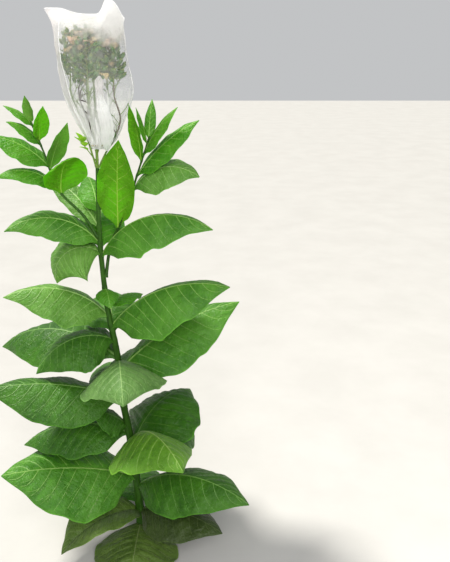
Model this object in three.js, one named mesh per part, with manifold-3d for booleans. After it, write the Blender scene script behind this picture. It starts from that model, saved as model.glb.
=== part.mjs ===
// A tobacco plant in fruit, with a cloth bag tied over its flower head.
// Units are millimetres. +X is right, +Y is away from the front and +Z is up.
// The origin is the middle of the flat cut through the main stem at ground level.
import * as THREE from 'three';
import { mergeVertices } from 'three/addons/utils/BufferGeometryUtils.js';
import Module from 'manifold-3d';

const wasm = await Module();
wasm.setup();
const { Manifold, Mesh: SolidMesh } = wasm;

// Driving dimensions
const GAP = 0.35;                 // clearance between pieces that touch
const STEM_TOP = 1305;            // height of the fork under the flower head
const STEM_FOOT_RADIUS = 15;
const STEM_TOP_RADIUS = 5.5;
const ROOT_FLARE = 8;             // extra radius at the ground
const FLARE_HEIGHT = 30;
const LEAF_THICKNESS_SHARE = 0.011;
const LEAF_WING_SHARE = 0.1;      // half width of the winged foot over that of the blade
const RIB_SHARE = 0.011;          // depth of the midrib's foot over the leaf's length
const LOWEST_LEAF_POINT = 6;      // the ground leaves stay this far above the ground
const BAG_THICKNESS = 2;
const HEAD_CENTRE = { x: -76, y: 0 };

const COLOURS = {
  stem: 0x7f9a4c,
  leaf: 0x4f8a3a,
  young: 0x74a83c,
  flowers: 0x7d8a4e,
  bag: 0xf2f3f4,
};

const UP = new THREE.Vector3(0, 0, 1);
const BACK = new THREE.Vector3(0, 1, 0);
const radians = THREE.MathUtils.degToRad;
const point = (x, y, z) => new THREE.Vector3(x, y, z);
const smoothLine = (points) => new THREE.CatmullRomCurve3(points, false, 'catmullrom', 0.5);

// The limbs' centre lines

// The main stem leans to the left from its foot and straightens above the middle.
const stemLine = smoothLine([
  point(0, 0, 0), point(-10, 0, 221), point(-25, 0, 385), point(-45, 0, 547), point(-53, 0, 700),
  point(-74, 0, 850), point(-84, 0, 1000), point(-86, 0, 1140), point(-80, 0, STEM_TOP),
]);
const leftShootLine = smoothLine([
  point(-92, 0, 1092), point(-135, 8, 1160), point(-205, 18, 1235), point(-238, 25, 1335),
  point(-275, 30, 1440),
]);
const rightShootLine = smoothLine([
  point(-75, 0, 962), point(-56, 25, 1065), point(-5, 12, 1165), point(38, -8, 1285),
  point(80, -15, 1400),
]);
const panicleLine = smoothLine([
  point(-80, 0, STEM_TOP + GAP), point(-78, 0, 1400), point(-76, 0, 1480), point(-76, 0, 1560),
]);

// The leaves of the main stem, from the ground up. `at` is the height on the stem, `azimuth` is
// measured from +X towards +Y, `reach` and `tip` are how far out and how high the tip lies,
// `bend` is how far the midrib turns down on the way, `roll` lifts the left half as seen from
// the stem, and a negative `fold` makes both halves hang from the midrib.
const MAIN_LEAVES = [
  { at: 40, azimuth: 269, reach: 300, tip: 12, bend: 30, width: 280, roll: 0, fold: -4 },
  { at: 90, azimuth: 216, reach: 300, tip: 45, bend: 75, width: 215, roll: 0, fold: 26 },
  { at: 95, azimuth: 330, reach: 340, tip: 125, bend: 50, width: 205, roll: 8, fold: -14 },
  { at: 120, azimuth: 100, reach: 320, tip: 60, bend: 60, width: 210, roll: 0, fold: -10 },
  { at: 195, azimuth: 330, reach: 443, tip: 277, bend: 70, width: 245, roll: 10, fold: -22 },
  { at: 235, azimuth: 200, reach: 440, tip: 335, bend: 30, width: 310, roll: -24, fold: -12 },
  { at: 255, azimuth: 62, reach: 380, tip: 210, bend: 90, width: 230, roll: 0, fold: -14 },
  { at: 345, azimuth: 50, reach: 295, tip: 450, bend: 92, width: 345, roll: -10, fold: -8 },
  { at: 365, azimuth: 303, reach: 365, tip: 455, bend: 92, width: 290, roll: -4, fold: -24 },
  { at: 405, azimuth: 177, reach: 370, tip: 342, bend: 70, width: 225, roll: -6, fold: -15 },
  { at: 430, azimuth: 204, reach: 132, tip: 514, bend: 50, width: 138, roll: -15, fold: -10 },
  { at: 505, azimuth: 109, reach: 350, tip: 480, bend: 95, width: 184, roll: 0, fold: -14 },
  { at: 540, azimuth: 188, reach: 438, tip: 598, bend: 36, width: 245, roll: -15, fold: -22 },
  { at: 590, azimuth: 68, reach: 350, tip: 560, bend: 90, width: 220, roll: 0, fold: -14 },
  { at: 640, azimuth: 15, reach: 410, tip: 840, bend: 40, width: 260, roll: 15, fold: -18 },
  { at: 655, azimuth: 281, reach: 290, tip: 664, bend: 98, width: 282, roll: 6, fold: -22 },
  { at: 690, azimuth: 157, reach: 478, tip: 638, bend: 76, width: 258, roll: -16, fold: -14 },
  { at: 750, azimuth: 207, reach: 257, tip: 684, bend: 100, width: 220, roll: -12, fold: -15 },
  { at: 780, azimuth: 100, reach: 330, tip: 780, bend: 80, width: 200, roll: 0, fold: -14 },
  { at: 800, azimuth: 345, reach: 395, tip: 966, bend: 62, width: 255, roll: 20, fold: -26 },
  { at: 835, azimuth: 195, reach: 315, tip: 925, bend: 78, width: 200, roll: -20, fold: -22 },
  { at: 865, azimuth: 48, reach: 150, tip: 865, bend: 60, width: 90, roll: -8, fold: -8 },
  { at: 925, azimuth: 290, reach: 80, tip: 885, bend: 90, width: 70, roll: 0, fold: -10 },
  { at: 1045, azimuth: 200, reach: 140, tip: 958, bend: 150, width: 235, roll: -22, fold: -6 },
  { at: 1035, azimuth: 345, reach: 362, tip: 1140, bend: 95, width: 200, roll: 18, fold: -26 },
  { at: 1060, azimuth: 97, reach: 260, tip: 1120, bend: 80, width: 150, roll: 0, fold: -12 },
  { at: 1074, azimuth: 191, reach: 280, tip: 1124, bend: 92, width: 128, roll: -30, fold: -14 },
  { at: 1124, azimuth: 135, reach: 285, tip: 1240, bend: 45, width: 88, roll: -15, fold: -6 },
  { at: 1170, azimuth: 110, reach: 170, tip: 1250, bend: 60, width: 90, roll: 0, fold: -10 },
];

// The leaves of the two side shoots: `along` is the share of the shoot's line at the foot.
const LEFT_LEAVES = [
  { along: 0.47, azimuth: 309, reach: 105, tip: 1346, bend: 90, width: 138, roll: 0, fold: -6 },
  { along: 0.52, azimuth: 192, reach: 178, tip: 1277, bend: 90, width: 85, roll: -20, fold: -8 },
  { along: 0.66, azimuth: 317, reach: 108, tip: 1442, bend: 22, width: 62, roll: 0, fold: -6 },
  { along: 0.68, azimuth: 182, reach: 175, tip: 1396, bend: 50, width: 98, roll: -25, fold: -8 },
  { along: 0.83, azimuth: 200, reach: 92, tip: 1440, bend: 60, width: 55, roll: -30, fold: -8 },
  { along: 0.86, azimuth: 310, reach: 45, tip: 1484, bend: 20, width: 50, roll: 0, fold: -6 },
  { along: 0.96, azimuth: 175, reach: 84, tip: 1482, bend: 50, width: 42, roll: -10, fold: -6 },
  { along: 0.98, azimuth: 246, reach: 20, tip: 1512, bend: 20, width: 36, roll: 0, fold: -6 },
];
const RIGHT_LEAVES = [
  { along: 0.38, azimuth: 285, reach: 130, tip: 1400, bend: 40, width: 112, roll: -20, fold: -6 },
  { along: 0.66, azimuth: 342, reach: 213, tip: 1290, bend: 95, width: 140, roll: 34, fold: -14 },
  { along: 0.75, azimuth: 350, reach: 190, tip: 1448, bend: 30, width: 100, roll: 35, fold: -8 },
  { along: 0.84, azimuth: 225, reach: 37, tip: 1490, bend: 20, width: 55, roll: 0, fold: -6 },
  { along: 0.88, azimuth: 345, reach: 108, tip: 1484, bend: 30, width: 66, roll: 36, fold: -6 },
  { along: 0.95, azimuth: 165, reach: 30, tip: 1480, bend: 20, width: 34, roll: 0, fold: -6 },
  { along: 0.98, azimuth: 81, reach: 55, tip: 1500, bend: 20, width: 34, roll: 0, fold: -6 },
];

// The flower head: a middle cluster on the panicle's own axis and one on each side branch.
const CLUSTERS = [
  { branch: null, azimuth: 0, out: 0, height: 1634, radius: 36, half: 66, seed: 11 },
  { branch: [point(-80, 0, 1290), point(-92.2, -2, 1345), point(-113, -6, 1430)],
    azimuth: 188, out: 64, height: 1622, radius: 29, half: 66, seed: 23 },
  { branch: [point(-80, 0, 1298), point(-52, -2, 1350), point(-20, -4, 1400), point(-4, -6, 1450)],
    azimuth: 345, out: 62, height: 1616, radius: 27, half: 66, seed: 37 },
  { branch: [point(-79, 0, 1335), point(-88, 14, 1390), point(-96, 34, 1450)],
    azimuth: 122, out: 56, height: 1618, radius: 28, half: 68, seed: 41 },
  { branch: [point(-79, 0, 1345), point(-62, 12, 1400), point(-50, 34, 1460)],
    azimuth: 55, out: 54, height: 1614, radius: 27, half: 66, seed: 59 },
  { branch: [point(-79, 0, 1350), point(-88, -12, 1400), point(-92, -34, 1460)],
    azimuth: 265, out: 58, height: 1606, radius: 27, half: 62, seed: 61 },
];

// The bag from its tied mouth up to its seam: the middle and half width across, and half depth.
const BAG_LEVELS = [
  { height: 1362, middle: -68, half: 34, depth: 20 },
  { height: 1396, middle: -60, half: 53, depth: 34 },
  { height: 1450, middle: -60, half: 76, depth: 56 },
  { height: 1487, middle: -60, half: 92, depth: 72 },
  { height: 1530, middle: -63, half: 103, depth: 88 },
  { height: 1590, middle: -73, half: 101, depth: 94 },
  { height: 1650, middle: -80, half: 99, depth: 90 },
  { height: 1700, middle: -81, half: 98, depth: 60 },
  { height: 1730, middle: -82, half: 102, depth: 5 },
];
// The seam's corners: where each stands along the half width, how wide it is and how far it
// rises and leans out.
const BAG_EARS = [
  { share: -1, spread: 0.1, up: 3, out: -16 },
  { share: -0.8, spread: 0.4, up: 16, out: 0 },
  { share: 0.52, spread: 0.13, up: 24, out: 0 },
  { share: 0.7, spread: 0.22, up: 30, out: 2 },
  { share: 1, spread: 0.16, up: -14, out: 0 },
];

// Solids from rings of points

// The closed solid through rings of equally many points, with a flat end at each side. A ring
// is closed across by joining each point to the one opposite it, so it may be a thin loop.
function loft(rings) {
  const count = rings[0].length;
  const positions = rings.flat().flatMap((p) => [p.x, p.y, p.z]);
  const index = [];
  for (let r = 0; r + 1 < rings.length; r += 1) {
    for (let k = 0; k < count; k += 1) {
      const a = r * count + k;
      const b = r * count + ((k + 1) % count);
      index.push(a, b, a + count, b, b + count, a + count);
    }
  }
  const last = (rings.length - 1) * count;
  for (let k = 0; k + 1 < count / 2; k += 1) {
    const near = [k, k + 1, count - 1 - k, count - 2 - k];
    index.push(near[0], near[2], near[1]);
    if (near[1] !== near[3]) index.push(near[1], near[2], near[3]);
    index.push(last + near[0], last + near[1], last + near[2]);
    if (near[1] !== near[3]) index.push(last + near[1], last + near[3], last + near[2]);
  }
  const geometry = new THREE.BufferGeometry();
  geometry.setAttribute('position', new THREE.Float32BufferAttribute(positions, 3));
  geometry.setIndex(index);
  return facingOut(geometry);
}

function facingOut(geometry) {
  const p = geometry.getAttribute('position');
  const i = geometry.getIndex();
  const corner = (n) => new THREE.Vector3().fromBufferAttribute(p, i.getX(n));
  let volume = 0;
  for (let n = 0; n < i.count; n += 3) {
    volume += corner(n).dot(corner(n + 1).cross(corner(n + 2)));
  }
  if (volume < 0) {
    for (let n = 0; n < i.count; n += 3) {
      const kept = i.getX(n + 1);
      i.setX(n + 1, i.getX(n + 2));
      i.setX(n + 2, kept);
    }
  }
  geometry.computeVertexNormals();
  return geometry;
}

function circle(centre, across, along, radius, sides) {
  return Array.from({ length: sides }, (_, k) => {
    const angle = (2 * Math.PI * k) / sides;
    return centre.clone()
      .addScaledVector(across, radius * Math.cos(angle))
      .addScaledVector(along, radius * Math.sin(angle));
  });
}

// Two directions square to a limb that never runs straight back.
function squareTo(direction) {
  const across = new THREE.Vector3().crossVectors(BACK, direction).normalize();
  return [across, new THREE.Vector3().crossVectors(direction, across).normalize()];
}

// Limbs

// A limb keeps its line and its radius along it, so that other pieces can be seated on it.
function limb(line, radius, samples = 60) {
  const points = Array.from({ length: samples + 1 }, (_, k) => {
    const u = k / samples;
    return { place: line.getPoint(u), radius: radius(u) };
  });
  return { line, radius, points };
}

// How far a point lies outside a limb.
function clearance(place, host) {
  let least = Infinity;
  for (let k = 0; k + 1 < host.points.length; k += 1) {
    const a = host.points[k];
    const b = host.points[k + 1];
    const span = new THREE.Line3(a.place, b.place);
    const u = span.closestPointToPointParameter(place, true);
    const away = span.at(u, new THREE.Vector3()).distanceTo(place);
    least = Math.min(least, away - THREE.MathUtils.lerp(a.radius, b.radius, u));
  }
  return least;
}

function stemRadius(u) {
  const height = stemLine.getPoint(u).z;
  const taper = THREE.MathUtils.lerp(STEM_FOOT_RADIUS, STEM_TOP_RADIUS, height / STEM_TOP);
  return taper + ROOT_FLARE * Math.exp(-height / FLARE_HEIGHT);
}

const stem = limb(stemLine, stemRadius, 160);
const leftShoot = limb(leftShootLine, (u) => THREE.MathUtils.lerp(5, 2.2, u));
const rightShoot = limb(rightShootLine, (u) => THREE.MathUtils.lerp(5.5, 2.2, u));
const panicle = limb(panicleLine, (u) => THREE.MathUtils.lerp(4.6, 2.2, u));

function stemGeometry() {
  const shares = [0, 0.012, 0.03, 0.06];
  for (let u = 0.09; u < 0.98; u += 0.035) shares.push(u);
  shares.push(1);
  return loft(shares.map((u) => {
    const centre = stemLine.getPoint(u);
    return circle(centre, point(1, 0, 0), BACK, stemRadius(u), 14);
  }));
}

// A tapering limb. It starts where its end face is clear of every limb in `hosts`.
function limbGeometry(piece, hosts, { sides = 7, steps = 14 } = {}) {
  const ringAt = (u) => {
    const [across, along] = squareTo(piece.line.getTangent(u));
    return circle(piece.line.getPoint(u), across, along, piece.radius(u), sides);
  };
  const isClear = (u) => ringAt(u).every((p) => hosts.every((host) => clearance(p, host) > GAP));
  let start = 0;
  while (!isClear(start)) start += 0.002;
  return loft(Array.from({ length: steps + 1 }, (_, k) => ringAt(start + ((1 - start) * k) / steps)));
}

// Leaves

// Half width of a blade over its greatest, from its winged foot to its drawn-out tip.
function bladeShare(t) {
  const widest = 0.44;
  const body = Math.max(0, Math.sin(Math.PI * t ** (Math.log(0.5) / Math.log(widest)))) ** 0.78;
  const foot = Math.min(1, t / 0.12);
  const point = 1 - 0.3 * Math.max(0, (t - 0.78) / 0.22) ** 1.5;
  return body * foot * point + LEAF_WING_SHARE * (1 - t) ** 2;
}

// The rings of a leaf whose midrib starts `offset` out from the limb's centre line.
function leafRings(leaf, foot, offset, stations, halves) {
  const azimuth = radians(leaf.azimuth);
  const bend = radians(leaf.bend);
  const out = point(Math.cos(azimuth), Math.sin(azimuth), 0);
  const start = foot.clone().addScaledVector(out, offset);
  const reach = leaf.reach - offset;
  const rise = Math.atan2(leaf.tip - foot.z, reach) + bend / 2;
  const chord = Math.hypot(reach, leaf.tip - foot.z);
  const length = (chord * (bend / 2)) / Math.sin(bend / 2);
  const thickness = length * LEAF_THICKNESS_SHARE;
  const radiusOfBend = length / bend;
  const side = new THREE.Vector3().crossVectors(UP, out);
  return Array.from({ length: stations + 1 }, (_, k) => {
    const t = k / stations;
    const slope = rise - bend * t;
    const level = radiusOfBend * (Math.sin(rise) - Math.sin(slope));
    const height = radiusOfBend * (Math.cos(slope) - Math.cos(rise));
    const middle = start.clone().addScaledVector(out, level).addScaledVector(UP, height);
    const along = out.clone().multiplyScalar(Math.cos(slope)).addScaledVector(UP, Math.sin(slope));
    const across = side.clone().applyAxisAngle(along, radians(leaf.roll));
    const normal = new THREE.Vector3().crossVectors(along, across);
    const half = Math.max(1.5, (leaf.width / 2) * bladeShare(t));
    const rib = length * RIB_SHARE * (1 - t);
    const top = [];
    const under = [];
    for (let j = -halves; j <= halves; j += 1) {
      const s = j / halves;
      const lift = half * (Math.abs(s) * Math.sin(radians(leaf.fold)) - 0.25 * s * s);
      const place = middle.clone()
        .addScaledVector(across, s * half * Math.cos(radians(leaf.fold)))
        .addScaledVector(normal, lift);
      top.push(place);
      under.unshift(place.clone().addScaledVector(normal, -thickness - (j === 0 ? rib : 0)));
    }
    return [...top, ...under];
  });
}

// A leaf as one solid, seated GAP clear of the limb that carries it.
function leafGeometry(leaf, host, foot, { stations = 9, halves = 2 } = {}) {
  let offset = 0;
  let rings;
  for (let pass = 0; pass < 40; pass += 1) {
    rings = leafRings(leaf, foot, offset, stations, halves);
    const least = Math.min(...rings.flat().map((p) => clearance(p, host)));
    if (least >= GAP - 0.01) break;
    offset += GAP - least;
  }
  const lowest = Math.min(...rings.flat().map((p) => p.z));
  if (lowest < LOWEST_LEAF_POINT) {
    for (const p of rings.flat()) p.z = Math.max(p.z, LOWEST_LEAF_POINT + 0.5 * (p.z - lowest));
  }
  return loft(rings);
}

function stemPointAt(height) {
  let low = 0;
  let high = 1;
  while (high - low > 1e-7) {
    const middle = (low + high) / 2;
    if (stemLine.getPoint(middle).z < height) low = middle;
    else high = middle;
  }
  return stemLine.getPoint(low);
}

// The flower head

// A repeatable run of shares between 0 and 1.
function dice(seed) {
  let state = seed;
  return () => {
    state = (state * 16807) % 2147483647;
    return state / 2147483647;
  };
}

function solid(geometry) {
  const bare = geometry.clone();
  bare.deleteAttribute('normal');
  bare.deleteAttribute('uv');
  const merged = mergeVertices(bare, 1e-4);
  return new Manifold(new SolidMesh({
    numProp: 3,
    vertProperties: new Float32Array(merged.getAttribute('position').array),
    triVerts: new Uint32Array(merged.getIndex().array),
  }));
}

function geometryOf(body) {
  const mesh = body.getMesh();
  const geometry = new THREE.BufferGeometry();
  geometry.setAttribute('position', new THREE.Float32BufferAttribute(mesh.vertProperties, 3));
  geometry.setIndex(Array.from(mesh.triVerts));
  geometry.computeVertexNormals();
  return geometry;
}

function twig(from, to, fromRadius, toRadius) {
  const [across, along] = squareTo(to.clone().sub(from).normalize());
  return loft([circle(from, across, along, fromRadius, 3), circle(to, across, along, toRadius, 3)]);
}

// A seed capsule in its calyx, or a dried corolla, standing at a twig's tip.
function pod(place, direction, radius, length) {
  const geometry = new THREE.OctahedronGeometry(1);
  geometry.scale(radius, radius, length / 2);
  geometry.applyQuaternion(new THREE.Quaternion().setFromUnitVectors(UP, direction));
  geometry.translate(...place.clone().addScaledVector(direction, length * 0.35).toArray());
  return geometry;
}

// One cluster: a short axis, side twigs by a seeded rule, and a pod at each twig's tip.
function clusterGeometry(cluster, foot) {
  const roll = dice(cluster.seed);
  const centre = clusterCentre(cluster);
  const top = centre.clone().addScaledVector(UP, cluster.half * 0.8);
  const pieces = [twig(foot, top, 2, 1.6)];
  const podLength = 20;
  pieces.push(pod(top, UP, 6, podLength));
  const twigs = 11;
  for (let k = 0; k < twigs; k += 1) {
    const share = (k + 0.5) / twigs;
    const root = foot.clone().lerp(top, 0.12 + 0.8 * share);
    const azimuth = k * radians(137.5) + 0.4 * roll();
    const height = centre.z + cluster.half * (2 * share - 1) * 0.7 + 14;
    const bulge = Math.sqrt(Math.max(0.1, 1 - (0.85 * (2 * share - 1)) ** 2));
    const reach = (cluster.radius - 5) * bulge * (0.75 + 0.25 * roll());
    const tip = point(
      centre.x + reach * Math.cos(azimuth),
      centre.y + reach * Math.sin(azimuth),
      Math.min(height, centre.z + cluster.half * 0.7),
    );
    const lean = tip.clone().sub(root).normalize();
    lean.lerp(UP, 0.5).normalize();
    pieces.push(twig(root, tip, 1.5, 1.2));
    pieces.push(pod(tip, lean, 5.2, podLength));
  }
  return geometryOf(Manifold.union(pieces.map(solid)));
}

function clusterCentre(cluster) {
  const azimuth = radians(cluster.azimuth);
  return point(
    HEAD_CENTRE.x + cluster.out * Math.cos(azimuth),
    HEAD_CENTRE.y + cluster.out * Math.sin(azimuth),
    cluster.height,
  );
}

function clusterFoot(cluster) {
  return clusterCentre(cluster).addScaledVector(UP, -cluster.half);
}

// The side branch ends just under its cluster's own stem.
function branchOf(cluster) {
  const end = clusterFoot(cluster).addScaledVector(UP, -GAP);
  const below = end.clone().addScaledVector(UP, -40);
  return limb(smoothLine([...cluster.branch, below, end]), (u) => THREE.MathUtils.lerp(2.8, 2.1, u));
}

// The bag

// One level of the cloth, drawn in by `inset`, as a loop whose ends are at the sides. The seam
// at the top is a flat line that rises into its two corners.
function bagRing(level, inset, sides) {
  const isSeam = level === BAG_LEVELS[BAG_LEVELS.length - 1];
  return Array.from({ length: sides }, (_, k) => {
    const angle = (2 * Math.PI * k) / sides;
    const share = Math.cos(angle);
    const place = point(
      level.middle + (level.half - inset) * share,
      (level.depth - inset) * Math.sin(angle),
      level.height - (isSeam ? 2 * inset : 0),
    );
    for (const ear of isSeam ? BAG_EARS : []) {
      const lift = Math.exp(-(((share - ear.share) / ear.spread) ** 2));
      place.x += ear.out * lift;
      place.z += ear.up * lift;
    }
    return place;
  });
}

function bagGeometry() {
  const sides = 20;
  const outside = BAG_LEVELS.map((level) => bagRing(level, 0, sides));
  const inside = BAG_LEVELS.map((level) => bagRing(level, BAG_THICKNESS, sides));
  return loft([...inside.reverse(), ...outside]);
}

// The plant

const plant = new THREE.Group();

function add(name, geometry, colour, roughness = 0.6) {
  const material = new THREE.MeshStandardMaterial({ color: colour, roughness, metalness: 0 });
  const mesh = new THREE.Mesh(geometry, material);
  mesh.name = name;
  plant.add(mesh);
}

const numbered = (name, k) => `${name}_${String(k + 1).padStart(2, '0')}`;

add('stem', stemGeometry(), COLOURS.stem);
MAIN_LEAVES.forEach((leaf, k) => {
  add(numbered('leaf', k), leafGeometry(leaf, stem, stemPointAt(leaf.at)), COLOURS.leaf);
});

for (const { name, shoot, leaves } of [
  { name: 'left', shoot: leftShoot, leaves: LEFT_LEAVES },
  { name: 'right', shoot: rightShoot, leaves: RIGHT_LEAVES },
]) {
  add(`shoot_${name}`, limbGeometry(shoot, [stem]), COLOURS.stem);
  leaves.forEach((leaf, k) => {
    const foot = shoot.line.getPoint(leaf.along);
    const geometry = leafGeometry(leaf, shoot, foot, { stations: 7 });
    add(numbered(`${name}_shoot_leaf`, k), geometry, COLOURS.young);
  });
}

add('panicle_axis', limbGeometry(panicle, [], { steps: 8 }), COLOURS.stem);
CLUSTERS.forEach((cluster, k) => {
  let foot = panicleLine.getPoint(1).addScaledVector(UP, GAP);
  if (cluster.branch) {
    const branch = branchOf(cluster);
    add(numbered('panicle_branch', k - 1), limbGeometry(branch, [stem, panicle], { sides: 6 }), COLOURS.stem);
    foot = clusterFoot(cluster);
  }
  add(numbered('flowers', k), clusterGeometry(cluster, foot), COLOURS.flowers, 0.8);
});
add('bag', bagGeometry(), COLOURS.bag, 0.9);

export default plant;
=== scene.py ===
"""The looks of the tobacco plant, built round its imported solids.

Places and sizes are in millimetres, as in the part's source, until Batch.build makes a mesh.
Each limb, leaf and flower cluster follows the source's own rule, written again here and carried
to finer detail within the same reach.
"""

import math
from math import radians

import bpy
import numpy as np
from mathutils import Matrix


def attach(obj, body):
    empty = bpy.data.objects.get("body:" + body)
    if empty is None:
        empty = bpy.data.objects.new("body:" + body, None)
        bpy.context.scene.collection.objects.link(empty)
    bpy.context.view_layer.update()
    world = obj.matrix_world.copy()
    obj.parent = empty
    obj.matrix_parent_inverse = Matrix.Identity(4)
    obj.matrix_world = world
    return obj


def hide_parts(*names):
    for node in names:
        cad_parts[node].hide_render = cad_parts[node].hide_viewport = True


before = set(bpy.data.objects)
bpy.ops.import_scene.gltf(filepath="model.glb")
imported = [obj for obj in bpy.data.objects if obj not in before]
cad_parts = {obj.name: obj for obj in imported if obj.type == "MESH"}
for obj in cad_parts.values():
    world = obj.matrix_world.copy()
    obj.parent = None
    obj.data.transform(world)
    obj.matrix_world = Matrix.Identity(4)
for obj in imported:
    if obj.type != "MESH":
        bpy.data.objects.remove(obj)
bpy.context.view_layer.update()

MM = 0.001
TURN = 2 * math.pi
RIGHT = np.array([1.0, 0.0, 0.0])
BACK = np.array([0.0, 1.0, 0.0])
UP = np.array([0.0, 0.0, 1.0])

# Driving dimensions of the source
STEM_TOP = 1305
STEM_FOOT_RADIUS = 15
STEM_TOP_RADIUS = 5.5
ROOT_FLARE = 8
FLARE_HEIGHT = 30
LEAF_WING_SHARE = 0.1
LOWEST_LEAF_POINT = 6
HEAD_CENTRE = np.array([-76.0, 0.0, 0.0])


def smooth_line(points):
    """The source's Catmull-Rom line as a function of a share from 0 to 1."""
    p = np.array(points, float)
    p = np.vstack([2 * p[0] - p[1], p, 2 * p[-1] - p[-2]])
    spans = len(points) - 1

    def at(u):
        u = np.clip(np.asarray(u, float), 0, 1) * spans
        k = np.minimum(u.astype(int), spans - 1)
        w = (u - k)[..., None]
        a, b, c, d = p[k], p[k + 1], p[k + 2], p[k + 3]
        leave, arrive = (c - a) / 2, (d - b) / 2
        bow = 3 * (c - b) - 2 * leave - arrive
        return b + leave * w + bow * w**2 + (2 * (b - c) + leave + arrive) * w**3

    return at


stem_line = smooth_line([
    (0, 0, 0), (-10, 0, 221), (-25, 0, 385), (-45, 0, 547), (-53, 0, 700),
    (-74, 0, 850), (-84, 0, 1000), (-86, 0, 1140), (-80, 0, STEM_TOP),
])
left_shoot_line = smooth_line([
    (-92, 0, 1092), (-135, 8, 1160), (-205, 18, 1235), (-238, 25, 1335), (-275, 30, 1440),
])
right_shoot_line = smooth_line([
    (-75, 0, 962), (-56, 25, 1065), (-5, 12, 1165), (38, -8, 1285), (80, -15, 1400),
])
panicle_line = smooth_line([(-80, 0, STEM_TOP), (-78, 0, 1400), (-76, 0, 1480), (-76, 0, 1560)])

# Leaves of the main stem, from the ground up: height on the stem, azimuth, reach, height of the
# tip, bend, width, roll and fold as in the source, and the tone that the leaf is made in.
MAIN_LEAVES = [
    (40, 269, 300, 12, 30, 280, 0, -4, "dusty"),
    (90, 216, 300, 45, 75, 215, 0, 26, "dusty"),
    (95, 330, 340, 125, 50, 205, 8, -14, "shady"),
    (120, 100, 320, 60, 60, 210, 0, -10, "shade_dark"),
    (195, 330, 443, 277, 70, 245, 10, -22, "shade_dark"),
    (235, 200, 440, 335, 30, 310, -24, -12, "broad"),
    (255, 62, 380, 210, 90, 230, 0, -14, "shade_dark"),
    (345, 50, 295, 450, 92, 345, -10, -8, "shade_dark"),
    (365, 303, 365, 455, 92, 290, -4, -24, "warm"),
    (405, 177, 370, 342, 70, 225, -6, -15, "shade_dark"),
    (430, 204, 132, 514, 50, 138, -15, -10, "shade_dark"),
    (505, 109, 350, 480, 95, 184, 0, -14, "shade_dark"),
    (540, 188, 438, 598, 36, 245, -15, -22, "shade_dark"),
    (590, 68, 350, 560, 90, 220, 0, -14, "broad"),
    (640, 15, 410, 840, 40, 260, 15, -18, "broad"),
    (655, 281, 290, 664, 98, 282, 6, -22, "sunny"),
    (690, 157, 478, 638, 76, 258, -16, -14, "shade_dark"),
    (750, 207, 257, 684, 100, 220, -12, -15, "shade_dark"),
    (780, 100, 330, 780, 80, 200, 0, -14, "broad"),
    (800, 345, 395, 966, 62, 255, 20, -26, "broad"),
    (835, 195, 315, 925, 78, 200, -20, -22, "pale"),
    (865, 48, 150, 865, 60, 90, -8, -8, "fresh"),
    (925, 290, 80, 885, 90, 70, 0, -10, "fresh"),
    (1045, 200, 140, 958, 150, 235, -22, -6, "pale"),
    (1035, 345, 362, 1140, 95, 200, 18, -26, "broad"),
    (1060, 97, 260, 1120, 80, 150, 0, -12, "fresh"),
    (1074, 191, 280, 1124, 92, 128, -30, -14, "broad"),
    (1124, 135, 285, 1240, 45, 88, -15, -6, "pale"),
    (1170, 110, 170, 1250, 60, 90, 0, -10, "fresh"),
]

# Leaves of the side shoots: the first number is the share of the shoot's line at the foot.
LEFT_LEAVES = [
    (0.47, 309, 105, 1346, 90, 138, 0, -6, "lit"),
    (0.52, 192, 178, 1277, 90, 85, -20, -8, "fresh"),
    (0.66, 317, 108, 1442, 22, 62, 0, -6, "fresh"),
    (0.68, 182, 175, 1396, 50, 98, -25, -8, "fresh"),
    (0.83, 200, 92, 1440, 60, 55, -30, -8, "fresh"),
    (0.86, 310, 45, 1484, 20, 50, 0, -6, "lit"),
    (0.96, 175, 84, 1482, 50, 42, -10, -6, "fresh"),
    (0.98, 246, 20, 1512, 20, 36, 0, -6, "fresh"),
]
RIGHT_LEAVES = [
    (0.38, 285, 130, 1400, 40, 112, -20, -6, "lit"),
    (0.66, 342, 213, 1290, 95, 140, 34, -14, "pale"),
    (0.75, 350, 190, 1448, 30, 100, 35, -8, "fresh"),
    (0.84, 225, 37, 1490, 20, 55, 0, -6, "lit"),
    (0.88, 345, 108, 1484, 30, 66, 36, -6, "fresh"),
    (0.95, 165, 30, 1480, 20, 34, 0, -6, "fresh"),
    (0.98, 81, 55, 1500, 20, 34, 0, -6, "fresh"),
]

# Flower clusters: side branch, azimuth and distance from the head's centre line, height, radius,
# half height and seed.
CLUSTERS = [
    ([], 0, 0, 1634, 36, 66, 11),
    ([(-80, 0, 1290), (-92.2, -2, 1345), (-113, -6, 1430)], 188, 64, 1622, 29, 66, 23),
    ([(-80, 0, 1298), (-52, -2, 1350), (-20, -4, 1400), (-4, -6, 1450)], 345, 62, 1616, 27, 66, 37),
    ([(-79, 0, 1335), (-88, 14, 1390), (-96, 34, 1450)], 122, 56, 1618, 28, 68, 41),
    ([(-79, 0, 1345), (-62, 12, 1400), (-50, 34, 1460)], 55, 54, 1614, 27, 66, 59),
    ([(-79, 0, 1350), (-88, -12, 1400), (-92, -34, 1460)], 265, 58, 1606, 27, 62, 61),
]

# The bag's levels from its tied mouth to its seam: height, middle, half width and half depth.
BAG_LEVELS = [
    (1362, -68, 34, 20), (1396, -60, 53, 34), (1450, -60, 76, 56), (1487, -60, 92, 72),
    (1530, -63, 103, 88), (1590, -73, 101, 94), (1650, -80, 99, 90), (1700, -81, 98, 60),
    (1730, -82, 102, 2),
]
# The seam's corners: share of the half width, spread, rise and lean outwards.
BAG_EARS = [
    (-1, 0.1, 3, -16), (-0.8, 0.4, 16, 0), (0.52, 0.13, 24, 0), (0.7, 0.22, 30, 2), (1, 0.16, -14, 0),
]


# Numbers and directions

def unit(v):
    return v / np.linalg.norm(v, axis=-1, keepdims=True)


def lerp(a, b, u):
    return a + (b - a) * u


def shares(count):
    """Evenly spaced shares from 0 to 1."""
    return np.linspace(0, 1, count)


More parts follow.
